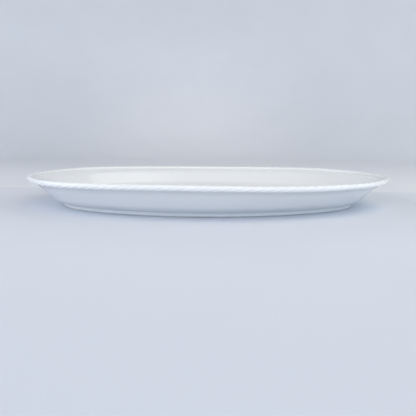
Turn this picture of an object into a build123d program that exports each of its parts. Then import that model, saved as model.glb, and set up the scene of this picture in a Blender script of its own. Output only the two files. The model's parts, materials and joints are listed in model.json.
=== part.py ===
from build123d import *
from math import atan2, cos, degrees, radians, sin, tan
import os

# White porcelain serving platter: an oval dish with plain flared sides, a moulded
# rope-twist edge and a low foot ring, under a clear glaze.
# Millimetres, +Z up, long side along X. The origin is the middle of the foot's
# bearing face, on the table.

# --- Driving dimensions ---------------------------------------------------------
HALF_LENGTH = 184.0        # rim, centre to end
HALF_WIDTH = 132.0         # rim, centre to side
END_RADIUS = 114.0         # compass radius of the rim's two ends
GLAZE = 0.3                # thickness of the glaze coat

# Heights above the table
FLOOR_Z = 7.4              # top of the floor
UNDERSIDE_Z = 2.6          # recess inside the foot ring
BEAD_Z = 27.75             # middle of the rope edge
LIP_BREAK_Z = 22.2         # outside, where the wall flares into the lip
INNER_LIP_BREAK_Z = 25.9   # inside, the same

# Wall. "In" is a distance inward from the rim's outermost line.
WALL_SLOPE = 44.0          # degrees above level
VERGE_CORNER_IN = 29.6     # where the wall's outside line would meet the underside
WALL_THICKNESS = 4.6
VERGE_RADIUS = 27.0        # outside, from the underside up into the wall
INNER_RADIUS = 20.0        # inside, from the floor up into the wall
LIP_RADIUS = 25.0          # outside cove under the lip
INNER_LIP_RADIUS = 20.0
FLOOR_IN = 42.0            # from here inward the floor is flat

# Rope edge: a round bead that carries the twisted strands
BEAD_RADIUS = 2.45         # over the strands
BEAD_CORE_RADIUS = 1.6     # the body's own rim inside the rope
STRAND_ROOT_RADIUS = 2.0   # bottom of the grooves between strands
ROPE_LOW_END = -100.0      # degrees from straight outward: the crease under the lip
ROPE_HIGH_END = 180.0      # the crease inside the rim
END_STRANDS = 27           # strands round each end arc
SIDE_STRANDS = 29          # strands along each side arc
STRAND_ANGLE = 20.0        # twist of the strands against the rim's line
GROOVE_WIDTH = 0.9
GROOVE_LENGTH = 20.0       # of the cut that makes one groove, longer than the strand
GROOVE_DEPTH = 10.0        # of the same, through the whole rope

# Foot ring
FOOT_OUTER_IN = 33.6       # outer side at the table
FOOT_INNER_IN = 39.2       # inner side at the table
FOOT_DRAFT = 0.2           # lean of its sides, per mm of height
FOOT_ROOT_Z = 4.0          # the ring's root, up inside the dish's underside
TOE_RADIUS = 0.8           # rounding of the bare toe
GLAZE_STOP_Z = 1.0         # below this the foot is wiped clean of glaze

# Sections are drawn this far past the flat floor's edge, then trimmed square
SPARE_IN = 5.0
TRIM_WIDTH = 40.0
TRIM_HEIGHT = 80.0
STOP_WIDTH = 200.0         # of the cut below the glaze's edge on the foot
STOP_HEIGHT = 20.0

# --- The oval: four tangent arcs drawn with a compass ---------------------------
END_CENTRE = HALF_LENGTH - END_RADIUS
SIDE_BULGE = HALF_WIDTH - END_RADIUS
SIDE_CENTRE = (END_CENTRE**2 - SIDE_BULGE**2) / (2 * SIDE_BULGE)
SIDE_RADIUS = HALF_WIDTH + SIDE_CENTRE
END_HALF_ANGLE = degrees(atan2(SIDE_CENTRE, END_CENTRE))
SIDE_HALF_ANGLE = 90 - END_HALF_ANGLE

# Each arc: its centre, the rim's radius, the direction of its middle, half its
# angle, and the strands of rope along it
ARCS = [
    (Vector(END_CENTRE, 0), END_RADIUS, 0, END_HALF_ANGLE, END_STRANDS),
    (Vector(0, -SIDE_CENTRE), SIDE_RADIUS, 90, SIDE_HALF_ANGLE, SIDE_STRANDS),
    (Vector(-END_CENTRE, 0), END_RADIUS, 180, END_HALF_ANGLE, END_STRANDS),
    (Vector(0, SIDE_CENTRE), SIDE_RADIUS, 270, SIDE_HALF_ANGLE, SIDE_STRANDS),
]
UP = Vector(0, 0, 1)


def direction(angle):
    """Unit vector in the drawing plane at this angle."""
    return Vector(cos(radians(angle)), sin(radians(angle)))


def around_the_oval(section):
    """Carry a section round the whole rim. Its x is measured from the rim's
    outermost line, negative inward, and its y is the height."""
    with BuildPart() as ring:
        for centre, radius, middle, half_angle, _ in ARCS:
            out = direction(middle - half_angle)
            with BuildSketch(Plane(centre + out * radius, x_dir=out, z_dir=out.cross(UP))):
                add(section)
            revolve(axis=Axis(centre, UP), revolution_arc=2 * half_angle)
    return ring.part


def floor_slab(low, high):
    """Flat oval slab that fills the middle of a ring, between two heights."""
    with BuildPart() as slab:
        with BuildSketch(Plane.XY.offset(low)):
            with BuildLine():
                for centre, radius, middle, half_angle, _ in ARCS:
                    CenterArc(centre, radius - FLOOR_IN, middle - half_angle, 2 * half_angle)
            make_face()
        extrude(amount=high - low)
    return slab.part


# --- Sections, cut square across the rim ----------------------------------------
BEAD_CENTRE = Vector(-BEAD_RADIUS, BEAD_Z)
INWARD_LIMIT = -FLOOR_IN - SPARE_IN
SLOPE = radians(WALL_SLOPE)


def outside_wall(height):
    """Point on the straight wall's outside line."""
    return Vector(-VERGE_CORNER_IN + (height - UNDERSIDE_Z) / tan(SLOPE), height)


def inside_wall(height):
    """Point on the straight wall's inside line."""
    return outside_wall(height) - Vector(WALL_THICKNESS / sin(SLOPE), 0)


def rope_band(inner, outer):
    """The rope edge's section, or a layer of it, between two radii."""
    with BuildSketch() as band:
        with BuildLine():
            outer_arc = CenterArc(BEAD_CENTRE, outer, ROPE_LOW_END, ROPE_HIGH_END - ROPE_LOW_END)
            inner_arc = CenterArc(BEAD_CENTRE, inner, ROPE_LOW_END, ROPE_HIGH_END - ROPE_LOW_END)
            Line(outer_arc @ 0, inner_arc @ 0)
            Line(outer_arc @ 1, inner_arc @ 1)
        make_face()
    return band.sketch


def trimmed(sketch):
    """Cut a section off square where the flat floor begins."""
    with BuildSketch() as cut:
        add(sketch)
        with Locations((-FLOOR_IN, 0)):
            Rectangle(TRIM_WIDTH, TRIM_HEIGHT, align=(Align.MAX, Align.CENTER), mode=Mode.SUBTRACT)
    return cut.sketch


# The dish as it is seen, glaze and all, without its foot
with BuildSketch() as dish_glazed:
    with BuildLine():
        outside = FilletPolyline(
            (INWARD_LIMIT, UNDERSIDE_Z),
            outside_wall(UNDERSIDE_Z),
            outside_wall(LIP_BREAK_Z),
            BEAD_CENTRE + direction(ROPE_LOW_END) * BEAD_RADIUS,
            radius=(VERGE_RADIUS, LIP_RADIUS),
        )
        inside = FilletPolyline(
            (INWARD_LIMIT, FLOOR_Z),
            inside_wall(FLOOR_Z),
            inside_wall(INNER_LIP_BREAK_Z),
            BEAD_CENTRE + direction(ROPE_HIGH_END) * BEAD_RADIUS,
            radius=(INNER_RADIUS, INNER_LIP_RADIUS),
        )
        Line(outside @ 0, inside @ 0)
        Line(outside @ 1, inside @ 1)
    make_face()
    with Locations(BEAD_CENTRE):
        Circle(BEAD_RADIUS)

# The same with its foot, drawn one glaze thickness too low so that the toe is true
with BuildSketch() as whole_glazed:
    add(dish_glazed.sketch)
    with BuildSketch(mode=Mode.ADD):
        rise = FOOT_ROOT_Z * FOOT_DRAFT
        with BuildLine():
            Polyline(
                (-FOOT_OUTER_IN + rise, FOOT_ROOT_Z),
                (-FOOT_OUTER_IN, -GLAZE),
                (-FOOT_INNER_IN, -GLAZE),
                (-FOOT_INNER_IN - rise, FOOT_ROOT_Z),
                close=True,
            )
        make_face()
        fillet(vertices().group_by(Axis.Y)[0], radius=TOE_RADIUS + GLAZE)

# The same two under the glaze
with BuildSketch() as dish_clay:
    add(dish_glazed.sketch)
    offset(amount=-GLAZE, mode=Mode.REPLACE)
with BuildSketch() as whole_clay:
    add(whole_glazed.sketch)
    offset(amount=-GLAZE, mode=Mode.REPLACE)

rope_zone = rope_band(BEAD_CORE_RADIUS, BEAD_RADIUS)

with BuildSketch() as body_section:
    add(trimmed(dish_clay.sketch))
    add(rope_zone, mode=Mode.SUBTRACT)

with BuildSketch() as foot_section:
    add(whole_clay.sketch)
    add(dish_clay.sketch, mode=Mode.SUBTRACT)

with BuildSketch() as glaze_section:
    add(trimmed(whole_glazed.sketch))
    add(whole_clay.sketch, mode=Mode.SUBTRACT)
    add(rope_zone, mode=Mode.SUBTRACT)
    with Locations((0, GLAZE_STOP_Z)):
        Rectangle(STOP_WIDTH, STOP_HEIGHT, align=(Align.CENTER, Align.MAX), mode=Mode.SUBTRACT)


# --- Pieces ---------------------------------------------------------------------
os.makedirs("parts", exist_ok=True)

# Fired porcelain body: floor, verge, wall, lip and the core of the rim
body_wall = around_the_oval(body_section.sketch)
body_floor = floor_slab(UNDERSIDE_Z + GLAZE, FLOOR_Z - GLAZE)
with BuildPart() as dish_body:
    add(body_wall)
    add(body_floor)
dish_body.part.label = "dish_body"
export_step(dish_body.part, "parts/dish_body.step")

# Foot ring, with its bare toe on the table
foot_wall = around_the_oval(foot_section.sketch)
with BuildPart() as foot_ring:
    add(foot_wall)
foot_ring.part.label = "foot_ring"
export_step(foot_ring.part, "parts/foot_ring.step")

# The glaze lies in three fields, parted by the rope edge and by the bare toe
underside_skin, outside_skin, inside_skin = glaze_section.sketch.faces().sort_by(SortBy.AREA)

underside_rim = around_the_oval(underside_skin)
underside_middle = floor_slab(UNDERSIDE_Z, UNDERSIDE_Z + GLAZE)
with BuildPart() as glaze_underside:
    add(underside_rim)
    add(underside_middle)
glaze_underside.part.label = "glaze_underside"
export_step(glaze_underside.part, "parts/glaze_underside.step")

outside_coat = around_the_oval(outside_skin)
with BuildPart() as glaze_outside:
    add(outside_coat)
glaze_outside.part.label = "glaze_outside"
export_step(glaze_outside.part, "parts/glaze_outside.step")

inside_coat = around_the_oval(inside_skin)
inside_middle = floor_slab(FLOOR_Z - GLAZE, FLOOR_Z)
with BuildPart() as glaze_inside:
    add(inside_coat)
    add(inside_middle)
glaze_inside.part.label = "glaze_inside"
export_step(glaze_inside.part, "parts/glaze_inside.step")


# Rope edge: a thin ring over the body's rim, raised into twisted strands. Between
# strands a slanting slot is cut down to the strands' root.
def groove_planes():
    """A plane for each groove, square to it, at the bead's centre."""
    planes = []
    for centre, radius, middle, half_angle, strands in ARCS:
        for strand in range(strands):
            out = direction(middle + half_angle * (2 * (strand + 0.5) / strands - 1))
            along = UP.cross(out)
            across = (UP - out).normalized()
            twist = radians(STRAND_ANGLE)
            strand_line = along * cos(twist) + across * sin(twist)
            middle_of_bead = centre + out * (radius - BEAD_RADIUS) + UP * BEAD_Z
            planes.append(Plane(middle_of_bead, x_dir=strand_line, z_dir=strand_line.cross(out + UP)))
    return planes


rope_ring = around_the_oval(rope_zone)
with BuildSketch() as root_section:
    with Locations(BEAD_CENTRE):
        Circle(STRAND_ROOT_RADIUS)
strand_root = around_the_oval(root_section.sketch)
with BuildPart() as grooves:
    with Locations(groove_planes()):
        Box(GROOVE_LENGTH, GROOVE_DEPTH, GROOVE_WIDTH)
    add(strand_root, mode=Mode.SUBTRACT)
with BuildPart() as rope_edge:
    add(rope_ring)
    add(grooves.part, mode=Mode.SUBTRACT)
rope_edge.part.label = "rope_edge"
export_step(rope_edge.part, "parts/rope_edge.step")
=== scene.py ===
import json
import math

import bpy
import numpy as np
from mathutils import Matrix, Vector


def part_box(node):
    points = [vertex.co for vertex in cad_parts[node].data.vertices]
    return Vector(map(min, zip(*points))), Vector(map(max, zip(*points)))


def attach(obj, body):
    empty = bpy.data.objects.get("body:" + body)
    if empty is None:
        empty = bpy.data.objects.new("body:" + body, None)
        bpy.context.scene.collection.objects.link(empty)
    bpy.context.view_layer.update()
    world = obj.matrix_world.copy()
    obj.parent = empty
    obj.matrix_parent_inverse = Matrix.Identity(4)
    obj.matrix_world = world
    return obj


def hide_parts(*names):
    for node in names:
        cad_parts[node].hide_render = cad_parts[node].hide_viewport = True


# A white porcelain serving platter on a pale studio table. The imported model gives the
# size; the surfaces here are the fired and glazed ones, finer than the model's.
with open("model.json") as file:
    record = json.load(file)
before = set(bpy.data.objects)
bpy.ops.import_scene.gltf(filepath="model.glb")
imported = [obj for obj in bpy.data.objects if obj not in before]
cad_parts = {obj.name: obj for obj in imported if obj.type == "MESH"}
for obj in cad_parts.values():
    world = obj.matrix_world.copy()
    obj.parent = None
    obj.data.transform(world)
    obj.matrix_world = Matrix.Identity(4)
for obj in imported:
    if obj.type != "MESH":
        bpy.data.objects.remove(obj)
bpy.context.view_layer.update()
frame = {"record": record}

MM = 0.001

# ---------------------------------------------------------------- the platter's sizes
rope_low, rope_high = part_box("rope_edge")
glaze_low, glaze_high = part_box("glaze_underside")
mounts = {mount["name"]: mount for mount in frame["record"]["mounts"]}

HALF_LENGTH = rope_high.x
HALF_WIDTH = rope_high.y
END_RADIUS = 114 * MM                     # compass radius of the rim's two ends
BEAD_RADIUS = (rope_high.z - rope_low.z) / 2
BEAD_Z = (rope_high.z + rope_low.z) / 2
FLOOR_Z = mounts["well_floor"]["pos_m"][2]
GLAZE = 0.3 * MM
UNDERSIDE_Z = glaze_high.z - GLAZE

WALL_SLOPE = math.radians(44)
VERGE_CORNER_IN = 29.6 * MM               # where the wall would meet the underside
WALL_THICKNESS = 4.6 * MM
LIP_BREAK_Z = 22.2 * MM
INNER_LIP_BREAK_Z = 25.9 * MM
VERGE_RADIUS = 27 * MM
INNER_RADIUS = 20 * MM
LIP_RADIUS = 25 * MM
INNER_LIP_RADIUS = 20 * MM
FLAT_IN = 60 * MM                         # from here inward the floor is a plain oval
QUIRK = 0.12 * MM                         # depth of the rounded crease beside the rope
QUIRK_WIDTH = 0.8 * MM
CREASE_REACH = math.radians(5)            # the rope dips this far past the wall's surface
POOL_RADIUS = 0.9 * MM                    # glaze pooled in the corner above the foot

FOOT_OUTER_IN = 33.6 * MM
FOOT_INNER_IN = 39.2 * MM
FOOT_DRAFT = 0.186
GLAZE_STOP_Z = glaze_low.z

ROPE_LOW_END = math.radians(-100)
ROPE_HIGH_END = math.radians(180)
STRANDS = 112
STRANDS_PER_TURN = 5                      # strands laid side by side in the rope
ROPE_FADE = math.radians(18)              # the strands die away over this turn at each end
QUIRK_TURN = math.radians(11)
ROPE_CORE = 1.65 * MM
ROPE_ROWS = 49
RIM_COLUMNS = 896                         # points round the plain surfaces
TOE_RADIUS = 0.8 * MM
STRAND_DEPTH = 0.42 * MM
STRAND_ROUNDNESS = 0.93                   # 1 would be a full half circle
STRAND_VARIETY = 0.07                     # spread in how full the strands are
STRAND_LEAN = 0.05                        # spread in how far they lean
CREST_THINNING = 1.1                      # glaze depth lost from groove to crest
STEPS_PER_STRAND = 16
ROUND = STRANDS * STEPS_PER_STRAND        # points round the rope
BROAD_BEND_STEPS = 24                     # points on the broad bends of the wall
SMALL_BEND_STEPS = 9                      # points on the toe's and the recess's corners
FOOT_BEND_STEPS = 7                       # points on the glazed corner above the foot
USUAL_DEPTH = 0.5                         # glaze depth where it neither thins nor pools
POOLED_EXTRA = 0.5                        # added at the bottom of a crease
WIPED_THINNING = 0.4                      # taken off where the glaze stops at the bare toe
CORE_GAP = 0.02 * MM                      # keeps the hidden core clear of the glaze


# ---------------------------------------------------------------- the oval
# Four tangent arcs drawn with a compass. Each has a centre, the rim's radius and the
# angles where it begins and ends.
END_CENTRE = HALF_LENGTH - END_RADIUS
SIDE_BULGE = HALF_WIDTH - END_RADIUS
SIDE_CENTRE = (END_CENTRE**2 - SIDE_BULGE**2) / (2 * SIDE_BULGE)
SIDE_RADIUS = HALF_WIDTH + SIDE_CENTRE
JOIN = math.atan2(SIDE_CENTRE, END_CENTRE)
CENTRES = np.array([(END_CENTRE, 0), (0, -SIDE_CENTRE), (-END_CENTRE, 0), (0, SIDE_CENTRE)])
RADII = np.array([END_RADIUS, SIDE_RADIUS, END_RADIUS, SIDE_RADIUS])
STARTS = np.array([-JOIN, JOIN, math.pi - JOIN, math.pi + JOIN])
SWEEPS = np.array([2 * JOIN, math.pi - 2 * JOIN, 2 * JOIN, math.pi - 2 * JOIN])
LENGTHS = SWEEPS * (RADII - BEAD_RADIUS)
BOUNDS = np.concatenate([[0], np.cumsum(LENGTHS)])
ROUND_LENGTH = BOUNDS[-1]


def rim_point(turn, inward):
    """Plan position of points: turn is 0 to 1 round the rim, inward the distance in from it."""
    along = np.mod(turn, 1.0) * ROUND_LENGTH
    arc = np.clip(np.searchsorted(BOUNDS, along, side="right") - 1, 0, 3)
    angle = STARTS[arc] + (along - BOUNDS[arc]) / LENGTHS[arc] * SWEEPS[arc]
    radius = RADII[arc] - inward
    return np.stack(
        [CENTRES[arc, 0] + radius * np.cos(angle), CENTRES[arc, 1] + radius * np.sin(angle)], -1
    )


# ---------------------------------------------------------------- sections
# A section is a list of (inward, height) points, cut square across the rim.
BEAD_CENTRE = np.array([BEAD_RADIUS, BEAD_Z])


def on_bead(radius, angle):
    """Point of the bead's section; the angle is counted up from straight outward."""
    return BEAD_CENTRE + radius * np.array([-math.cos(angle), math.sin(angle)])


def outside_wall(height):
    """Point of the straight wall's outside line."""
    return np.array([VERGE_CORNER_IN - (height - UNDERSIDE_Z) / math.tan(WALL_SLOPE), height])


def inside_wall(height):
    """Point of the straight wall's inside line."""
    return outside_wall(height) + np.array([WALL_THICKNESS / math.sin(WALL_SLOPE), 0])


def rounded(corners, radii, steps):
    """The line through the corners, each rounded by an arc of its radius. A radius of 0
    keeps the corner sharp."""
    points = [corners[0]]
    for before, corner, after, radius in zip(corners, corners[1:], corners[2:], radii):
        into = (corner - before) / np.linalg.norm(corner - before)
        out = (after - corner) / np.linalg.norm(after - corner)
        turn = math.acos(float(np.clip(np.dot(into, out), -1, 1)))
        if radius == 0:
            points.append(corner)
            continue
        reach = radius * math.tan(turn / 2)
        side = 1 if into[0] * out[1] - into[1] * out[0] > 0 else -1
        centre = corner - into * reach + side * radius * np.array([-into[1], into[0]])
        spoke = (corner - into * reach) - centre
        for angle in np.linspace(0, side * turn, steps):
            c, s = math.cos(angle), math.sin(angle)
            points.append(centre + np.array([c * spoke[0] - s * spoke[1], s * spoke[0] + c * spoke[1]]))
    points.append(corners[-1])
    return np.array(points)


def respaced(line, longest):
    """The same line with long stretches divided, so that no step is over longest."""
    points = [line[0]]
    for a, b in zip(line, line[1:]):
        pieces = max(1, math.ceil(np.linalg.norm(b - a) / longest))
        points += [a + (b - a) * (k + 1) / pieces for k in range(pieces)]
    return np.array(points)


def offset_line(line, distance):
    """The line moved sideways, to the left of its direction."""
    step = np.gradient(line, axis=0)
    step /= np.linalg.norm(step, axis=1)[:, None]
    return line + distance * np.stack([-step[:, 1], step[:, 0]], 1)


def smooth_step(x):
    x = np.clip(x, 0, 1)
    return x * x * (3 - 2 * x)


def foot_outer(height):
    """Inward distance of the foot's outer side, glaze and all, at this height."""
    return FOOT_OUTER_IN - FOOT_DRAFT * (height + GLAZE)


def foot_inner(height):
    return FOOT_INNER_IN + FOOT_DRAFT * (height + GLAZE)


# The rope edge ends in a crease on each side; the wall's lines start from the same points.
low_crease = on_bead(BEAD_RADIUS - QUIRK, ROPE_LOW_END - CREASE_REACH)
high_crease = on_bead(BEAD_RADIUS - QUIRK, ROPE_HIGH_END + CREASE_REACH)


def from_crease(crease, line, side):
    """The wall's line, rounding down into the crease beside the rope. Side is 1 where the
    clay is on the line's left, and -1 where it is on its right."""
    along = np.concatenate([[0], np.cumsum(np.linalg.norm(np.diff(line, axis=0), axis=1))])
    drop = QUIRK * np.clip(1 - along / QUIRK_WIDTH, 0, 1) ** 2
    eased = line + (offset_line(line, side) - line) * drop[:, None]
    return np.concatenate([[crease], eased[along > 0.1 * MM]])


def outside_profile():
    """The platter's outside from the rope to the middle of the underside, without its foot."""
    return rounded(
        [
            on_bead(BEAD_RADIUS, ROPE_LOW_END),
            outside_wall(LIP_BREAK_Z),
            outside_wall(UNDERSIDE_Z),
            np.array([FLAT_IN, UNDERSIDE_Z]),
        ],
        [LIP_RADIUS, VERGE_RADIUS],
        BROAD_BEND_STEPS,
    )


def outside_line():
    """Outside glaze, from the rope down the wall and the foot's outer side to the bare toe."""
    wall = outside_profile()
    wall = from_crease(low_crease, respaced(wall, 0.5 * MM), 1)
    wall = wall[wall[:, 0] < foot_outer(wall[:, 1])]
    corner = wall[-1]
    wall = wall[np.linalg.norm(wall - corner, axis=1) > POOL_RADIUS]
    stop = GLAZE_STOP_Z + GLAZE / 2
    down = [np.array([foot_outer(stop), stop])]
    for angle in np.linspace(0.4, math.pi / 2, 4):
        down.append(
            np.array([
                foot_outer(stop) + GLAZE / 2 * (1 - math.cos(angle)),
                stop - GLAZE / 2 * math.sin(angle),
            ])
        )
    bend = rounded([wall[-1], corner, down[0]], [POOL_RADIUS * 0.9], FOOT_BEND_STEPS)
    return np.concatenate([wall, respaced(bend, 0.5 * MM)[1:], down[1:]])


def inside_line():
    """Inside glaze, from the rope down the wall to the flat of the floor."""
    wall = rounded(
        [
            on_bead(BEAD_RADIUS, ROPE_HIGH_END),
            inside_wall(INNER_LIP_BREAK_Z),
            inside_wall(FLOOR_Z),
            np.array([FLAT_IN, FLOOR_Z]),
        ],
        [INNER_LIP_RADIUS, INNER_RADIUS],
        BROAD_BEND_STEPS,
    )
    return from_crease(high_crease, respaced(wall, 0.8 * MM), -1)


def underside_line():
    """Underside glaze, from the bare toe up the foot's inner side to the recess."""
    toe = np.array([foot_inner(GLAZE_STOP_Z), GLAZE_STOP_Z])
    corner = np.array([foot_inner(UNDERSIDE_Z), UNDERSIDE_Z])
    line = rounded([toe, corner, np.array([FLAT_IN, UNDERSIDE_Z])], [POOL_RADIUS], SMALL_BEND_STEPS)
    return respaced(line, 1.5 * MM)


# ---------------------------------------------------------------- firing
# What the kiln does to the shape: the rim rises and dips a little, and the floor settles.
WARP_REACH = 90 * MM                      # front and back warps are full this far from the middle
FRONT_WAVE = 0.75 * MM
FRONT_WAVE_LENGTH = 270 * MM
FRONT_WAVE_SHIFT = 35 * MM
BACK_DIP = 0.7 * MM
THREE_WAVES = 0.1 * MM                    # small waves round the whole rim
FIVE_WAVES = 0.07 * MM
FLOOR_SETTLE = 0.22 * MM
FLOOR_RIPPLE = 0.05 * MM


def fired(points):
    """The points where they end up after firing."""
    x, y, z = points[..., 0], points[..., 1], points[..., 2]
    bearing = np.arctan2(y / HALF_WIDTH, x / HALF_LENGTH)
    near = smooth_step(-y / WARP_REACH)
    far = smooth_step(y / WARP_REACH)
    lift = FRONT_WAVE * np.cos(2 * math.pi * (x + FRONT_WAVE_SHIFT) / FRONT_WAVE_LENGTH) * near
    lift -= BACK_DIP * np.cos(math.pi * x / HALF_LENGTH) * far
    lift += THREE_WAVES * np.cos(3 * bearing + 0.7) + FIVE_WAVES * np.cos(5 * bearing + 2.1)
    on_wall = smooth_step((z - 4 * MM) / (20 * MM))
    well = (x / (HALF_LENGTH - FLAT_IN)) ** 2 + (y / (HALF_WIDTH - FLAT_IN)) ** 2
    on_floor = np.clip(1 - well, 0, 1)
    settle = FLOOR_SETTLE * on_floor**2
    settle += FLOOR_RIPPLE * np.sin(x / (31 * MM) + 1.1) * np.sin(y / (27 * MM) + 0.4) * on_floor
    out = points.copy()
    out[..., 2] = z + lift * on_wall - settle
    return out


# ---------------------------------------------------------------- meshes
def row(columns, inward, height, shift=0.0):
    """One row of points round the rim, at even turns from shift. inward and height are
    numbers, or arrays with one value for each column."""
    turns = np.arange(columns) / columns + shift
    plan = rim_point(turns, np.broadcast_to(inward, columns))
    return np.concatenate([plan, np.broadcast_to(height, columns)[:, None]], 1)


def faces_between(a, count_a, b, count_b):
    """Faces between two rows whose first points have the numbers a and b."""
    if count_b == 1:
        k = np.arange(count_a)
        return [np.stack([a + k, a + (k + 1) % count_a, b + 0 * k], 1)]
    if count_a == 1:
        k = np.arange(count_b)
        return [np.stack([a + 0 * k, b + (k + 1) % count_b, b + k], 1)]
    if count_a == count_b:
        k = np.arange(count_a)
        n = (k + 1) % count_a
        return [np.stack([a + k, a + n, b + n, b + k], 1)]
    if count_a == 2 * count_b:
        k = np.arange(count_b)
        n = (k + 1) % count_b
        left, middle, right = a + 2 * k, a + 2 * k + 1, a + 2 * n
        return [
            np.stack([left, middle, b + k], 1),
            np.stack([middle, b + n, b + k], 1),
            np.stack([middle, right, b + n], 1),
        ]
    if count_b == 2 * count_a:
        k = np.arange(count_a)
        n = (k + 1) % count_a
        left, middle, right = b + 2 * k, b + 2 * k + 1, b + 2 * n
        return [
            np.stack([a + k, middle, left], 1),
            np.stack([a + k, a + n, middle], 1),
            np.stack([a + n, right, middle], 1),
        ]
    raise ValueError("rows must match, halve, double or end in a point")


def sewn(name, rows, depths, material, closed, sharp=40):
    """A closed mesh from rows of points. Each row has a glaze depth: 0 thin, 0.5 as usual,
    1 pooled. closed joins the last row to the first."""
    counts = [len(points) for points in rows]
    firsts = np.concatenate([[0], np.cumsum(counts)])
    points = fired(np.concatenate(rows))
    order = list(range(len(rows))) + ([0] if closed else [])
    groups = []
    for i, j in zip(order, order[1:]):
        groups += faces_between(firsts[i], counts[i], firsts[j], counts[j])
    volume = 0.0
    for group in groups:
        p = points[group]
        for k in range(1, group.shape[1] - 1):
            volume += np.einsum("ij,ij->", p[:, 0], np.cross(p[:, k], p[:, k + 1]))
    if volume < 0:
        groups = [group[:, ::-1] for group in groups]
    faces = [face for group in groups for face in group.tolist()]
    mesh = bpy.data.meshes.new(name)
    mesh.from_pydata(points.tolist(), [], faces)
    depth = mesh.attributes.new("glaze_depth", "FLOAT", "POINT")
    values = np.concatenate([np.broadcast_to(d, n) for d, n in zip(depths, counts)])
    depth.data.foreach_set("value", values.astype(np.float32))
    mesh.shade_smooth()
    mesh.set_sharp_from_angle(angle=math.radians(sharp))
    mesh.materials.append(material)
    mesh.validate()
    piece = bpy.data.objects.new(name, mesh)
    bpy.context.scene.collection.objects.link(piece)
    return piece


def floor_rows(columns, height, rings=26):
    """Rows from the edge of the flat floor to its middle, with fewer points each time the
    rings get short."""
    rows = []
    for ring in range(1, rings):
        share = 1 - ring / rings
        count = columns
        for limit in (0.85, 0.6, 0.35, 0.18, 0.08):
            count = count // 2 if share < limit else count
        rows.append(row(columns, FLAT_IN, height)[:: columns // count] * (share, share, 1))
    rows.append(np.array([[0, 0, height]]))
    return rows


def rows_of(line, columns):
    return [row(columns, inward, height) for inward, height in line]


def pooling(line, creases, spread):
    """Glaze depth along a line, deeper near the creases."""
    depth = np.full(len(line), USUAL_DEPTH)
    for crease in creases:
        away = np.linalg.norm(line - crease, axis=1)
        depth = np.maximum(depth, USUAL_DEPTH + POOLED_EXTRA * np.exp(-((away / spread) ** 2)))
    return depth


# ---------------------------------------------------------------- finishes
class Wire:
    """A number inside a finish, written with ordinary arithmetic."""

    def __init__(self, finish, socket):
        self.finish = finish
        self.socket = socket

    def maths(self, operation, *values):
        return self.finish.add("ShaderNodeMath", {"operation": operation}, dict(enumerate(values)))[0]

    def __add__(self, other):
        return self.maths("ADD", self, other)

    def __mul__(self, other):
        return self.maths("MULTIPLY", self, other)

    def __sub__(self, other):
        return self.maths("SUBTRACT", self, other)

    def __rsub__(self, other):
        return self.maths("SUBTRACT", other, self)

    def __abs__(self):
        return self.maths("ABSOLUTE", self)

    __radd__ = __add__
    __rmul__ = __mul__


class Finish:
    """A material being put together from nodes."""

    def __init__(self, name):
        self.material = bpy.data.materials.new(name)
        self.material.use_nodes = True
        self.nodes = self.material.node_tree.nodes
        self.nodes.clear()

    def add(self, kind, settings, sockets):
        """A node with its settings, then its sockets' values or wires. Gives its outputs."""
        node = self.nodes.new(kind)
        for key, value in settings.items():
            setattr(node, key, value)
        for key, value in sockets.items():
            if isinstance(value, Wire):
                self.material.node_tree.links.new(value.socket, node.inputs[key])
            else:
                node.inputs[key].default_value = value
        return [Wire(self, output) for output in node.outputs]

    def blend(self, share, first, second):
        """Colour between two, by share."""
        settings = {"data_type": "RGBA", "clamp_factor": True}
        return self.add("ShaderNodeMix", settings, {0: share, 6: first, 7: second})[2]

    def between(self, value, low, high, new_low, new_high):
        """value mapped smoothly from one span to another."""
        sockets = {0: value, 1: low, 2: high, 3: new_low, 4: new_high}
        return self.add("ShaderNodeMapRange", {"interpolation_type": "SMOOTHSTEP"}, sockets)[0]

    def cloud(self, where, per_metre, detail):
        """Soft random field, with this many swells to the metre."""
        sockets = {"Vector": where, "Scale": per_metre, "Detail": detail, "Roughness": 0.5}
        return self.add("ShaderNodeTexNoise", {}, sockets)[0]

    def bump(self, height, strength, distance, over=None):
        """A surface raised by height, at most by distance in metres, over another bump if given."""
        sockets = {"Strength": strength, "Distance": distance, "Height": height}
        if over:
            sockets["Normal"] = over
        return self.add("ShaderNodeBump", {}, sockets)[0]

    def finish(self, surface):
        out = self.nodes.new("ShaderNodeOutputMaterial")
        self.material.node_tree.links.new(surface.socket, out.inputs["Surface"])
        return self.material


def grey(level, warmth=0.0):
    return (level * (1 + warmth), level, level * (1 - warmth), 1)


SWELL_HEIGHT = 0.1 * MM                   # slow unevenness of the glaze
PEEL_HEIGHT = 0.004 * MM                  # its fine orange peel
GRAIN_HEIGHT = 0.05 * MM                  # grain of the bare clay
FIBRE_HEIGHT = 0.08 * MM                  # tooth of the studio paper


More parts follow.
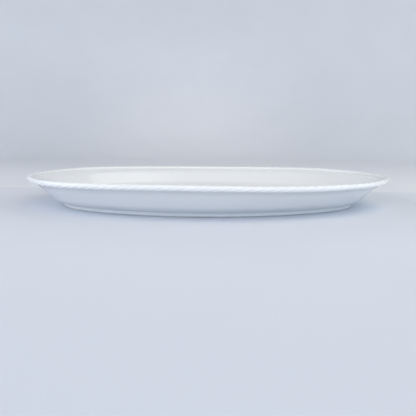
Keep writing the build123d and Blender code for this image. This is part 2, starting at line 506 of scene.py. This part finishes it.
def glazed_porcelain():
    """White porcelain under a clear glaze: soft white below, a wet gloss on top. The glaze
    runs thin over crests and gathers, a touch greener, in creases."""
    make = Finish("glazed porcelain")
    where = make.add("ShaderNodeTexCoord", {}, {})[3]
    depth = make.add("ShaderNodeAttribute", {"attribute_name": "glaze_depth"}, {})[2]
    pooled = make.between(depth, USUAL_DEPTH, 1.0, 0.0, 1.0)
    thin = make.between(depth, USUAL_DEPTH, 0.0, 0.0, 1.0)
    drift = make.cloud(where, 14, 2.0)
    clay = make.blend(drift, WHITE_COOL, WHITE_WARM)
    clay = make.blend(thin * 0.8, clay, WHITE_THIN)
    clay = make.blend(pooled * 0.5, clay, WHITE_POOLED)
    swell = make.cloud(where, 42, 1.0)
    peel = make.cloud(where, 900, 1.0)
    waves = make.bump(swell, 1.0, SWELL_HEIGHT)
    skin = make.bump(peel, 0.5, PEEL_HEIGHT, waves)
    dull = make.cloud(where, 90, 3.0)
    shader = make.add(
        "ShaderNodeBsdfPrincipled",
        {},
        {
            "Base Color": clay,
            "Roughness": make.between(dull, 0.3, 0.7, 0.30, 0.38) + thin * 0.06,
            "IOR": 1.5,
            "Coat Weight": 1.0 - thin * 0.25,
            "Coat Roughness": 0.11,
            "Coat IOR": 1.52,
            "Normal": skin,
        },
    )[0]
    return make.finish(shader)


def bare_porcelain():
    """Unglazed fired clay: matt and close-grained. It is darker than white porcelain and
    greyer towards the toe, partly wear where it slides on tables, partly painted shade
    where the foot meets the table.
    """
    make = Finish("bare porcelain")
    where = make.add("ShaderNodeTexCoord", {}, {})[3]
    height = make.add("ShaderNodeSeparateXYZ", {}, {"Vector": where})[2]
    grain = make.cloud(where, 2600, 3.0)
    smear = make.cloud(where, 120, 4.0)
    # Painted shade and wear: over the lowest 0.9 mm the clay turns patchy grey, partly where the toe
    # slides on tables, partly as painted shade in the gap under the foot.
    low_down = make.between(height, 0.9 * MM, 0.2 * MM, 0.0, 1.0)
    worn_and_shaded = low_down * make.between(smear, 0.4, 0.65, 0.0, 1.0)
    # The clay tones are darker than porcelain's white: partly grime, partly painted shade for the dark
    # line where the foot stands on the table.
    clay = make.blend(grain, grey(0.50, 0.01), grey(0.57, 0.01))
    clay = make.blend(worn_and_shaded * 0.7, clay, grey(0.30, 0.0))
    rough = make.bump(grain, 0.6, GRAIN_HEIGHT)
    sockets = {"Base Color": clay, "Roughness": 0.82 - worn_and_shaded * 0.2, "Normal": rough}
    shader = make.add("ShaderNodeBsdfPrincipled", {}, sockets)[0]
    return make.finish(shader)


WHITE_COOL = (0.828, 0.836, 0.836, 1)
WHITE_WARM = (0.846, 0.848, 0.842, 1)
WHITE_THIN = (0.862, 0.858, 0.844, 1)     # over crests
WHITE_POOLED = (0.745, 0.790, 0.798, 1)   # in grooves and creases

glaze_finish = glazed_porcelain()
clay_finish = bare_porcelain()


# ---------------------------------------------------------------- the pieces
def rope_row(radius, angle):
    """One row of the rope, set on round the rim as its strands twist."""
    shift = STRANDS_PER_TURN * angle / (2 * math.pi) / STRANDS
    inward = BEAD_RADIUS - radius * math.cos(angle)
    height = BEAD_Z + radius * math.sin(angle)
    return row(ROUND, inward, height, shift)


def rope_edge():
    """Twisted rope moulded round the rim. Each strand is a rounded ridge; the rope dies
    away into the crease at both sides."""
    generator = np.random.default_rng(7)
    outer = np.linspace(ROPE_LOW_END - CREASE_REACH, ROPE_HIGH_END + CREASE_REACH, ROPE_ROWS)
    across = np.mod(np.arange(STEPS_PER_STRAND) / STEPS_PER_STRAND + 0.5, 1.0) * 2 - 1
    ridge = np.sqrt(1 - (STRAND_ROUNDNESS * across) ** 2)
    ridge = (ridge - ridge.min()) / (ridge.max() - ridge.min())
    ridge = (np.roll(ridge, 1) + 2 * ridge + np.roll(ridge, -1)) / 4
    fullness = 1 + STRAND_VARIETY * generator.standard_normal(STRANDS)
    lean = STRAND_LEAN * generator.standard_normal(STRANDS)
    low_ridge = np.repeat(fullness, STEPS_PER_STRAND) * (1 - np.tile(ridge, STRANDS))
    tilt = np.repeat(lean, STEPS_PER_STRAND) * np.tile(np.sin(math.pi * across), STRANDS)
    rows, depths = [], []
    for angle in outer:
        fade = smooth_step((angle - ROPE_LOW_END) / ROPE_FADE)
        fade *= smooth_step((ROPE_HIGH_END - angle) / ROPE_FADE)
        into_crease = max(ROPE_LOW_END + QUIRK_TURN - angle, angle - ROPE_HIGH_END + QUIRK_TURN, 0)
        down_crease = min(1.0, into_crease / (QUIRK_TURN + CREASE_REACH))
        dip = QUIRK * down_crease**2
        radius = BEAD_RADIUS - STRAND_DEPTH * fade * (low_ridge + tilt) - dip
        rows.append(rope_row(radius, angle))
        groove = fade * (POOLED_EXTRA - CREST_THINNING * np.tile(ridge, STRANDS))
        crease = POOLED_EXTRA * down_crease
        depths.append(np.clip(USUAL_DEPTH + groove + crease, 0, 1))
    for angle in outer[::-8]:
        rows.append(rope_row(ROPE_CORE, angle))
        depths.append(USUAL_DEPTH)
    return sewn("twisted_rope_edge", rows, depths, glaze_finish, closed=True, sharp=70)


def outside_glaze():
    line = outside_line()
    back = offset_line(line, GLAZE)[::-4]
    above_foot = np.array([foot_outer(3.6 * MM), 3.7 * MM])
    corner = line[np.argmin(np.linalg.norm(line - above_foot, axis=1))]
    depth = pooling(line, [low_crease, corner], 1.1 * MM)
    last = np.linalg.norm(line - line[-1], axis=1)
    depth -= WIPED_THINNING * np.exp(-((last / (0.6 * MM)) ** 2))
    rows = rows_of(line, RIM_COLUMNS) + [row(RIM_COLUMNS, *point) for point in back]
    return sewn("outside_glaze", rows, [*depth, *[USUAL_DEPTH] * len(back)], glaze_finish, closed=True)


def inside_glaze():
    line = inside_line()
    back = offset_line(line, -GLAZE)[::-4]
    floor = floor_rows(RIM_COLUMNS, FLOOR_Z)
    under = floor_rows(RIM_COLUMNS, FLOOR_Z - GLAZE)
    depth = pooling(line, [high_crease], 1.1 * MM)
    rows = under[::-1] + rows_of(back, RIM_COLUMNS) + rows_of(line, RIM_COLUMNS) + floor
    hidden = [USUAL_DEPTH] * (len(under) + len(back))
    depths = hidden + list(depth) + [USUAL_DEPTH] * len(floor)
    return sewn("inside_glaze", rows, depths, glaze_finish, closed=False)


def underside_glaze():
    line = underside_line()
    back = offset_line(line, GLAZE)[::-2]
    floor = floor_rows(RIM_COLUMNS // 2, UNDERSIDE_Z)
    over = floor_rows(RIM_COLUMNS // 2, UNDERSIDE_Z + GLAZE)
    corner = np.array([foot_inner(UNDERSIDE_Z), UNDERSIDE_Z])
    depth = pooling(line, [corner], 1.2 * MM)
    depth -= WIPED_THINNING * np.exp(-((np.linalg.norm(line - line[0], axis=1) / (0.5 * MM)) ** 2))
    count = RIM_COLUMNS // 2
    rows = over[::-1] + rows_of(back, count) + rows_of(line, count) + floor
    hidden = [USUAL_DEPTH] * (len(over) + len(back))
    depths = hidden + list(depth) + [USUAL_DEPTH] * len(floor)
    return sewn("underside_glaze", rows, depths, glaze_finish, closed=False)


def bare_foot():
    """The foot under its glaze, with the wiped toe it stands on."""
    top = UNDERSIDE_Z + GLAZE
    outer = [np.array([foot_outer(z) + GLAZE, z]) for z in np.linspace(top, TOE_RADIUS, 6)]
    inner = [np.array([foot_inner(z) - GLAZE, z]) for z in np.linspace(TOE_RADIUS, top, 6)]
    sole = rounded(
        [outer[-1], np.array([outer[-1][0], 0]), np.array([inner[0][0], 0]), inner[0]],
        [TOE_RADIUS * 0.99, TOE_RADIUS * 0.99],
        SMALL_BEND_STEPS,
    )
    line = np.concatenate([outer[:-1], respaced(sole, 0.7 * MM), inner[1:]])
    rows = rows_of(line, RIM_COLUMNS // 2)
    return sewn("bare_foot", rows, [0.0] * len(rows), clay_finish, closed=True, sharp=50)


def porcelain_core():
    """The porcelain under the glaze and the rope."""
    under_glaze = GLAZE + CORE_GAP
    outside = offset_line(respaced(outside_profile(), 2 * MM), under_glaze)
    inside = offset_line(inside_line()[::3], -under_glaze)
    hidden = 0.5 * MM
    start = np.linalg.norm(outside - BEAD_CENTRE, axis=1) > ROPE_CORE + hidden
    outside = outside[start]
    inside = inside[np.linalg.norm(inside - BEAD_CENTRE, axis=1) > ROPE_CORE + hidden]
    rim = [on_bead(ROPE_CORE - 0.05 * MM, a) for a in np.linspace(ROPE_HIGH_END, ROPE_LOW_END, 15)]
    line = np.concatenate([inside[::-1], np.array(rim), outside])
    count = RIM_COLUMNS // 2
    top = floor_rows(count, FLOOR_Z - under_glaze)
    bottom = floor_rows(count, UNDERSIDE_Z + under_glaze)
    rows = top[::-1] + rows_of(line, count) + bottom
    return sewn("porcelain_core", rows, [USUAL_DEPTH] * len(rows), clay_finish, closed=False)


for make_piece, node, slot in (
    (rope_edge, "rope_edge", "glaze"),
    (outside_glaze, "glaze_outside", "glaze"),
    (inside_glaze, "glaze_inside", "glaze"),
    (underside_glaze, "glaze_underside", "glaze"),
    (bare_foot, "foot_ring", "porcelain"),
    (porcelain_core, "dish_body", "porcelain"),
):
    piece = make_piece()
    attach(piece, "root")
    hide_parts(node)


# ---------------------------------------------------------------- the studio
def studio_sweep():
    """A pale table that curves up into a round backdrop, open at the top. The sheet on the
    table ends in a faint straight edge; beyond it the paper is a little lighter. Painted
    shade darkens the paper towards the front and its sides, and a painted glow lightens
    the low backdrop behind the platter."""
    make = Finish("pale studio paper")
    where = make.add("ShaderNodeTexCoord", {}, {})[3]
    x, y, z = make.add("ShaderNodeSeparateXYZ", {}, {"Vector": where})
    past_edge = make.between(y + x * SHEET_SKEW, SHEET_EDGE, SHEET_EDGE + 0.002, 0.0, 1.0)
    # Painted shade: the paper darkens towards the front edge nearest the lens, and more towards the
    # sides.
    painted_front_shade = make.between(y, -0.20, -0.42, 0.0, 1.0)
    to_side = make.between(abs(x), 0.02, 0.22, 0.0, 1.0)
    # Painted glow: a pool of light painted onto the low backdrop behind the platter, strongest in the
    # middle.
    lit = make.between(y, 0.1, 1.3, 0.0, 1.0)
    lit = lit * make.between(abs(x), 0.5, 0.05, 0.0, 1.0)
    low_wall = make.between(z, 0.55, 0.10, 0.0, 1.0)
    paper = make.blend(past_edge, TABLE_TONE, PAST_EDGE_TONE)
    paper = make.blend(painted_front_shade * (0.5 + to_side * 0.5), paper, SHADE_AND_MOTTLE_TONE)
    paper = make.blend(lit * low_wall, paper, LIT_TONE)
    drift = make.cloud(where, 9, 2.0)
    paper = make.blend(make.between(drift, 0.3, 0.7, 0.0, 0.06), paper, SHADE_AND_MOTTLE_TONE)
    fibre = make.cloud(where, 700, 2.0)
    tooth = make.bump(fibre, 0.2, FIBRE_HEIGHT)
    sockets = {"Base Color": paper, "Roughness": 0.75, "Normal": tooth}
    shader = make.add("ShaderNodeBsdfPrincipled", {}, sockets)[0]
    material = make.finish(shader)
    profile = [(reach, 0.0) for reach in np.linspace(0.05, SWEEP_FLAT, 12)]
    for angle in np.linspace(0, math.pi / 2, 24)[1:]:
        profile.append((SWEEP_FLAT + SWEEP_BEND * math.sin(angle), SWEEP_BEND * (1 - math.cos(angle))))
    profile += [(SWEEP_FLAT + SWEEP_BEND, z) for z in np.linspace(SWEEP_BEND, SWEEP_TOP, 6)[1:]]
    sides = 96
    turns = np.arange(sides) / sides * 2 * math.pi
    points = [(0, 0, 0)]
    for radius, height in profile:
        points += [(radius * math.cos(a), radius * math.sin(a), height) for a in turns]
    faces = [(0, 1 + k, 1 + (k + 1) % sides) for k in range(sides)]
    for ring in range(len(profile) - 1):
        a, b = 1 + ring * sides, 1 + (ring + 1) * sides
        faces += [(a + k, b + k, b + (k + 1) % sides, a + (k + 1) % sides) for k in range(sides)]
    mesh = bpy.data.meshes.new("studio_sweep")
    mesh.from_pydata(points, [], faces)
    mesh.shade_smooth()
    mesh.materials.append(material)
    sweep = bpy.data.objects.new("studio_sweep", mesh)
    bpy.context.scene.collection.objects.link(sweep)


def soft_light(name, place, aim, size, watts, colour):
    lamp = bpy.data.lights.new(name, "AREA")
    lamp.shape = "RECTANGLE"
    lamp.size, lamp.size_y = size
    lamp.energy = watts
    lamp.color = colour
    light = bpy.data.objects.new(name, lamp)
    light.location = place
    light.rotation_euler = (Vector(aim) - Vector(place)).to_track_quat("-Z", "Y").to_euler()
    bpy.context.scene.collection.objects.link(light)


SWEEP_FLAT = 0.95
SWEEP_BEND = 0.40
SWEEP_TOP = 1.7
SHEET_EDGE = 0.110                        # the sheet's far edge, behind the platter's middle
SHEET_SKEW = 0.10
TABLE_TONE = (0.700, 0.736, 0.802, 1)
PAST_EDGE_TONE = (0.780, 0.806, 0.852, 1)
# Painted shade at the front of the paper; the random mottle uses it too.
SHADE_AND_MOTTLE_TONE = (0.560, 0.592, 0.660, 1)
# Painted glow on the backdrop.
LIT_TONE = (0.890, 0.905, 0.940, 1)

studio_sweep()
soft_light("front low", (0, -1.2, 0.42), (0, 0, 0.02), (2.0, 0.7), 7.1, (0.85, 1.0, 1.20))
soft_light("front high", (0, -0.9, 1.25), (0, 0, 0), (1.6, 1.0), 5.6, (1.18, 1.0, 0.78))
soft_light("left low", (-1.1, -0.35, 0.5), (0, 0, 0.02), (1.2, 0.8), 6.4, (0.94, 1.0, 1.10))
soft_light("right low", (1.1, -0.35, 0.5), (0, 0, 0.02), (1.2, 0.8), 3.4, (0.82, 1.0, 1.16))
soft_light("right high", (0.8, -0.1, 1.2), (0, 0, 0), (1.4, 1.4), 5.8, (1.05, 1.0, 0.88))
world = bpy.data.worlds.new("studio air")
world.use_nodes = True
world.node_tree.nodes["Background"].inputs["Color"].default_value = (0.84, 0.91, 1.0, 1)
world.node_tree.nodes["Background"].inputs["Strength"].default_value = 0.06
bpy.context.scene.world = world
bpy.context.scene.view_settings.view_transform = "Standard"


# ---------------------------------------------------------------- camera
LENS_DISTANCE = 478.1 * MM               # level distance from the platter's middle
LENS_HEIGHT = 67.2 * MM
PITCH_DOWN = 0.1538
PLATTER_TURN = -0.0583                   # the platter stands a little turned to the lens
PAN_RIGHT = -0.0022
ROLL = 0.0084
SENSOR_WIDTH = 36                        # in millimetres, as lenses are sold
FOCAL_LENGTH = 39.03

lens = bpy.data.cameras.new("camera")
lens.sensor_width = SENSOR_WIDTH
lens.lens = FOCAL_LENGTH
lens.clip_start = 10 * MM
camera = bpy.data.objects.new("camera", lens)
camera.matrix_world = (
    Matrix.Translation(
        (LENS_DISTANCE * math.sin(PLATTER_TURN), -LENS_DISTANCE * math.cos(PLATTER_TURN), LENS_HEIGHT)
    )
    @ Matrix.Rotation(PLATTER_TURN - PAN_RIGHT, 4, "Z")
    @ Matrix.Rotation(math.pi / 2 - PITCH_DOWN, 4, "X")
    @ Matrix.Rotation(ROLL, 4, "Z")
)
bpy.context.scene.collection.objects.link(camera)
bpy.context.scene.camera = camera
